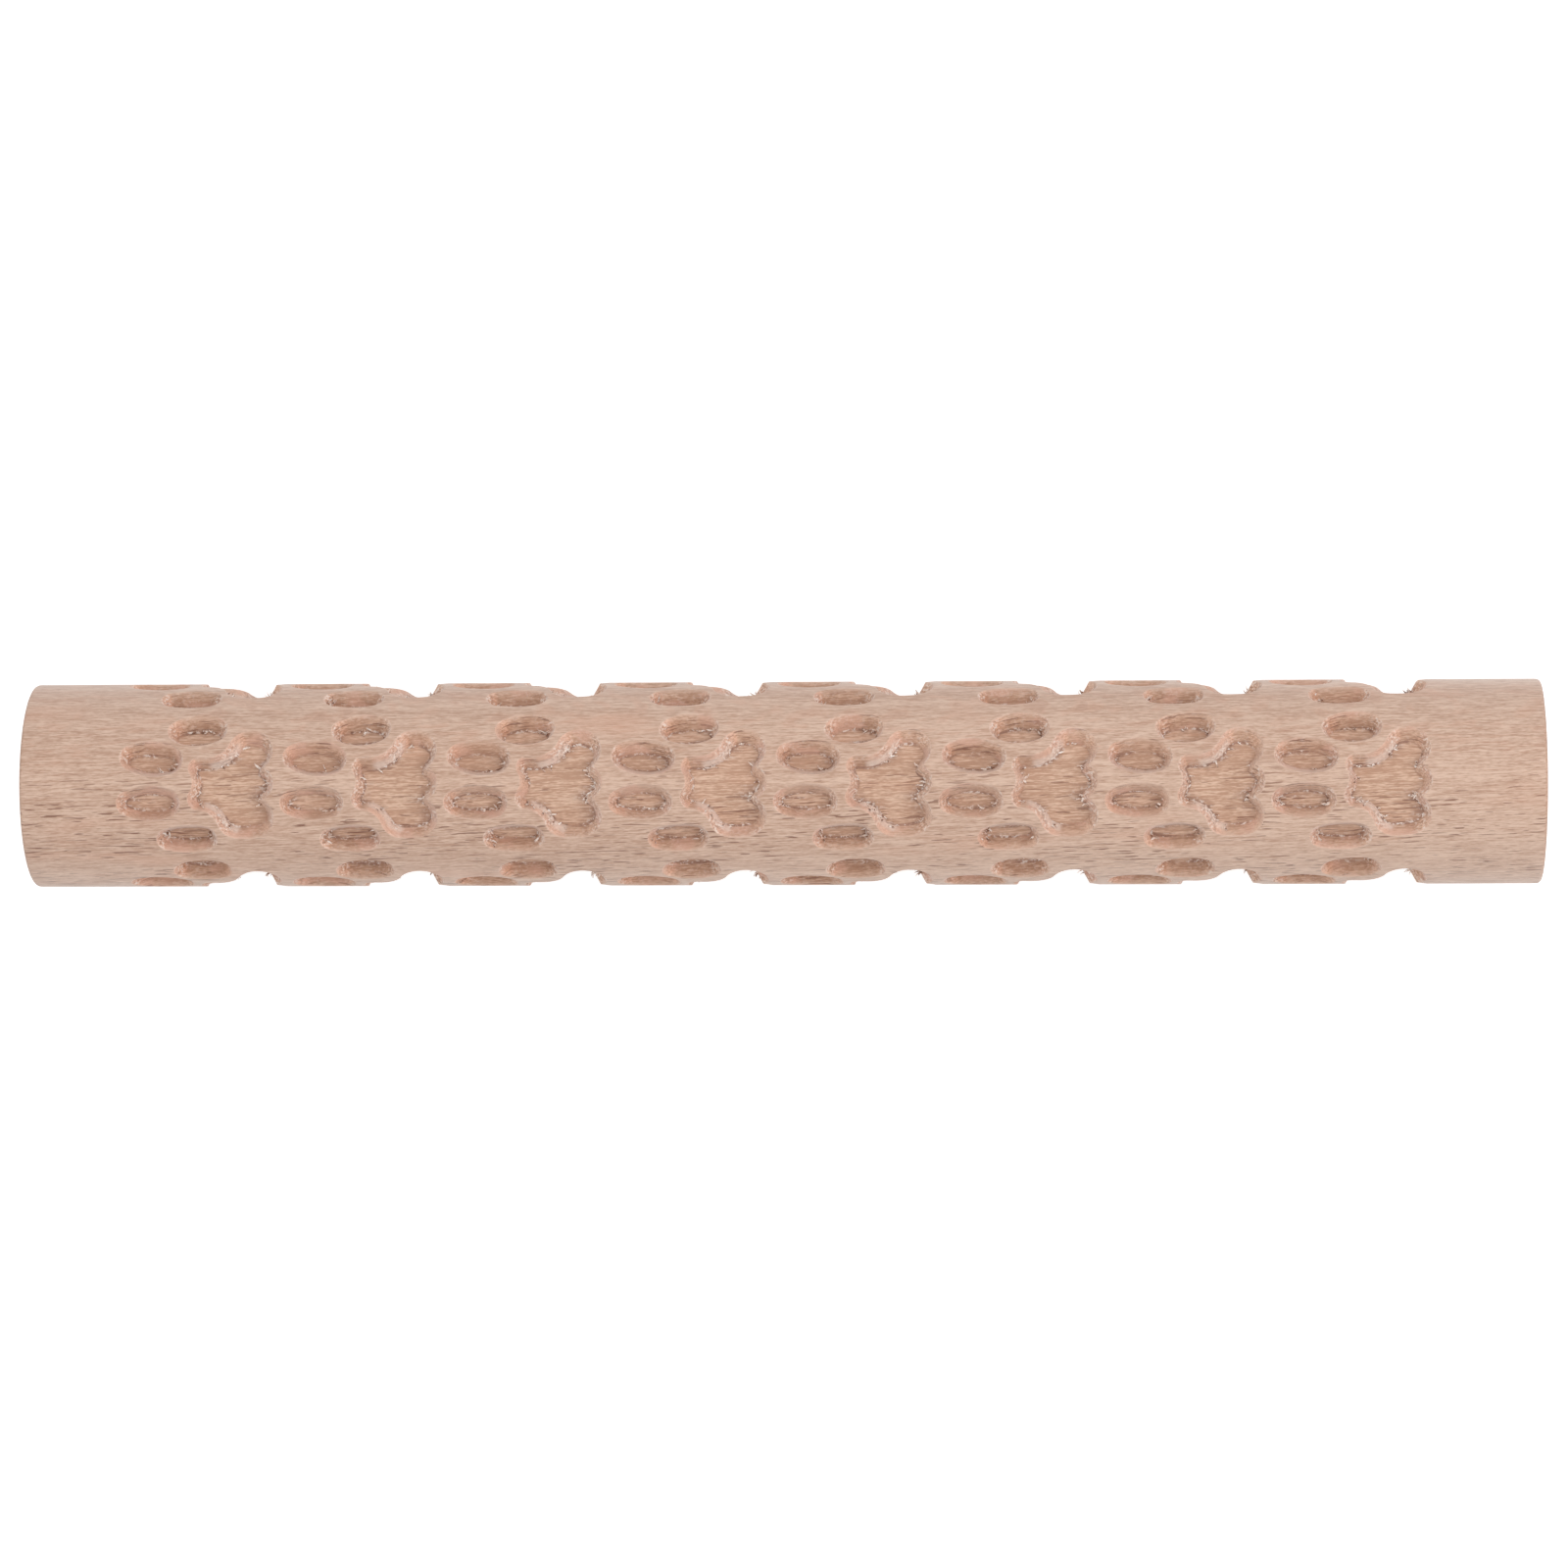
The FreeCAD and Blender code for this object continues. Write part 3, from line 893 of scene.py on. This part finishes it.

# %% [markdown]
# The rim is painted a little paler in flocks, partly pale raised fuzz and partly a painted highlight of the
# rounded edge, and the sawn ends drink more light. The grain and the torn specks also drive a Bump node. Bare
# sanded wood has no varnish: its gloss is low, and its finest fibres give a soft sheen towards the edges of
# the dowel.

# %% Material: rim, ends and surface
rim_fuzz_and_highlight = (0.78, 0.58, 0.47, 1.0)
end_tint = (0.86, 0.76, 0.68, 1.0)
grain_height = 0.00007
# Painted highlight along the rounded rim, together with pale raised fuzz, in flocks.
rim_fuzz_and_highlight_places = multiply(tree, zone["Rim"], ramp(tree, torn_places, 0.35, 0.65, 0.05, 0.3))
colour = blend_colour(tree, rim_fuzz_and_highlight_places, colour, rim_fuzz_and_highlight)
colour = tinted(tree, multiply(tree, zone["End Face"], 0.85), colour, end_tint)
torn_relief = multiply(tree, multiply(tree, specks, torn), 1.5)
height = maths(tree, "ADD", grain["Height"], torn_relief)
bump = node(tree, "ShaderNodeBump", Strength=0.5, Distance=grain_height, Height=height)
surface = node(tree, "ShaderNodeBsdfPrincipled", i0=colour, Roughness=grain["Roughness"],
               Normal=bump.outputs[0])
surface.inputs["Sheen Weight"].default_value = 0.6
surface.inputs["Sheen Tint"].default_value = (1.0, 0.95, 0.92, 1.0)
surface.inputs["Sheen Roughness"].default_value = 0.5
surface.inputs["Specular IOR Level"].default_value = 0.35
node(tree, "ShaderNodeOutputMaterial", i0=surface.outputs[0])
tile.data.materials.clear()
tile.data.materials.append(dowel_material)
print("carved beech:", len(tree.nodes), "nodes")

# %% [markdown]
# A splinter is dry, bare wood fibre, so it is much paler than the sanded face and quite dull. A noise along
# the grain varies it from pale to tan, and a fine noise turns some splinters dark brown, as painted shadow of
# the gaps between the torn fibres.

# %% Material: torn fibre
fibre_pale = (0.92, 0.85, 0.79, 1.0)
fibre_tan = (0.66, 0.48, 0.38, 1.0)
fibre_gap_shadow = (0.27, 0.14, 0.09, 1.0)
fibre_material, tree = new_material("torn_fibre", (0.86, 0.77, 0.70))
place = node(tree, "ShaderNodeTexCoord").outputs["Object"]
streaks = stretched_noise(tree, place, (900.0, 5200.0, 5200.0), 2.0, 0.6)
gap_shadow_places = noise(tree, place, 2400.0, 1.0)
fibre_colour = blend_colour(tree, ramp(tree, streaks, 0.42, 0.62), fibre_pale, fibre_tan)
# Painted shadow: dark brown on some splinters stands for the gaps between torn fibres.
fibre_colour = blend_colour(tree, ramp(tree, gap_shadow_places, 0.54, 0.60), fibre_colour, fibre_gap_shadow)
fibre_bump = node(tree, "ShaderNodeBump", Strength=0.4, Distance=0.00003, Height=streaks)
fibre_surface = node(tree, "ShaderNodeBsdfPrincipled", i0=fibre_colour,
                     Roughness=ramp(tree, streaks, 0.3, 0.7, 0.6, 0.85), Normal=fibre_bump.outputs[0])
fibre_surface.inputs["Sheen Weight"].default_value = 0.3
fibre_surface.inputs["Specular IOR Level"].default_value = 0.3
node(tree, "ShaderNodeOutputMaterial", i0=fibre_surface.outputs[0])
fibres_piece.data.materials.clear()
fibres_piece.data.materials.append(fibre_material)
print("torn fibre:", len(tree.nodes), "nodes")

# %% [markdown]
# ## Stage, light and camera
# The roller lies on a plain pale floor. A white floor throws so much light up at the underside that it washes
# out the dowel's edges. So the floor's own colour stays below white, and it glows only for rays that come
# straight from the camera: it looks white, and the dowel gets the softer bounce.

# %% Floor
floor_size = 6.0
floor_glow = 0.55
paper_dark = (0.85, 0.85, 0.85, 1.0)
paper_light = (0.87, 0.87, 0.87, 1.0)
deselect_all()
floor_level = cad_low.z
bpy.ops.mesh.primitive_plane_add(size=floor_size, location=(0.0, 0.0, floor_level))
floor = bpy.context.object
floor.name = "studio_floor"
floor_material, tree = new_material("pale_floor", (0.9, 0.9, 0.9))
paper = noise(tree, node(tree, "ShaderNodeTexCoord").outputs["Object"], 900.0)
paper_colour = blend_colour(tree, paper, paper_dark, paper_light)
floor_surface = node(tree, "ShaderNodeBsdfPrincipled", i0=paper_colour, Roughness=0.9)
floor_surface.inputs["Specular IOR Level"].default_value = 0.1
floor_surface.inputs["Emission Color"].default_value = (1.0, 1.0, 1.0, 1.0)
seen_straight = node(tree, "ShaderNodeLightPath").outputs["Is Camera Ray"]
tree.links.new(multiply(tree, seen_straight, floor_glow), floor_surface.inputs["Emission Strength"])
node(tree, "ShaderNodeOutputMaterial", i0=floor_surface.outputs[0])
floor.data.materials.append(floor_material)
print("floor at", round(floor_level / MM, 2), "mm")

# %% [markdown]
# Most of the light is an even white sky. Two large soft lamps, in front and behind, light the dowel's long
# sides alike, and a third one over the right end makes the left walls of the pockets catch a little more
# light than the right ones.

# %% Light
sky_strength = 0.56
world = bpy.data.worlds.new("studio_sky")
bpy.context.scene.world = world
world.use_nodes = True
sky = world.node_tree.nodes["Background"]
sky.inputs["Color"].default_value = (1.0, 1.0, 1.0, 1.0)
sky.inputs["Strength"].default_value = sky_strength


def soft_lamp(name, location, size, power):
    lamp = bpy.data.lights.new(name, "AREA")
    lamp.shape = "DISK"
    lamp.size = size
    lamp.energy = power
    lamp_object = bpy.data.objects.new(name, lamp)
    bpy.context.scene.collection.objects.link(lamp_object)
    lamp_object.location = location
    lamp_object.rotation_euler = (-Vector(location)).to_track_quat("-Z", "Y").to_euler()
    print(name, "of", power, "W,", round(Vector(location).length, 2), "m away")


soft_lamp("front_lamp", (0.0, -0.55, 0.6), 0.5, 1.55)
soft_lamp("back_lamp", (0.0, 0.55, 0.6), 0.5, 1.65)
soft_lamp("right_lamp", (0.46, 0.07, 0.52), 0.34, 1.0)
bpy.context.scene.view_settings.view_transform = "Standard"

# %% [markdown]
# The camera looks straight down from half a metre, a touch to the right of the middle, so the right end comes
# a little nearer. Its three axes are worked out one by one, because an aim that is nearly straight down
# leaves the turn about its own axis open.

# %% Camera
camera_distance = 0.54
camera_turn = math.radians(3.118)
camera_tilt = math.radians(-0.031)
camera_roll = math.radians(-0.189)
camera_target = Vector((0.000071, -0.00005, 0.0))
back = Vector((math.sin(camera_turn) * math.cos(camera_tilt), math.sin(camera_tilt),
               math.cos(camera_turn) * math.cos(camera_tilt)))
right = Vector((0.0, 1.0, 0.0)).cross(back).normalized()
up = back.cross(right)
rolled_right = right * math.cos(camera_roll) + up * math.sin(camera_roll)
rolled_up = up * math.cos(camera_roll) - right * math.sin(camera_roll)
camera_data = bpy.data.cameras.new("studio_camera")
camera_data.lens = 126.0
camera_data.sensor_width = 36.0
camera = bpy.data.objects.new("studio_camera", camera_data)
bpy.context.scene.collection.objects.link(camera)
camera.rotation_euler = Matrix((rolled_right, rolled_up, back)).transposed().to_euler()
camera.location = camera_target + back * camera_distance
camera_data.clip_start = 0.01
camera_data.clip_end = 20.0
bpy.context.scene.camera = camera
print("camera at", [round(side, 3) for side in camera.location])
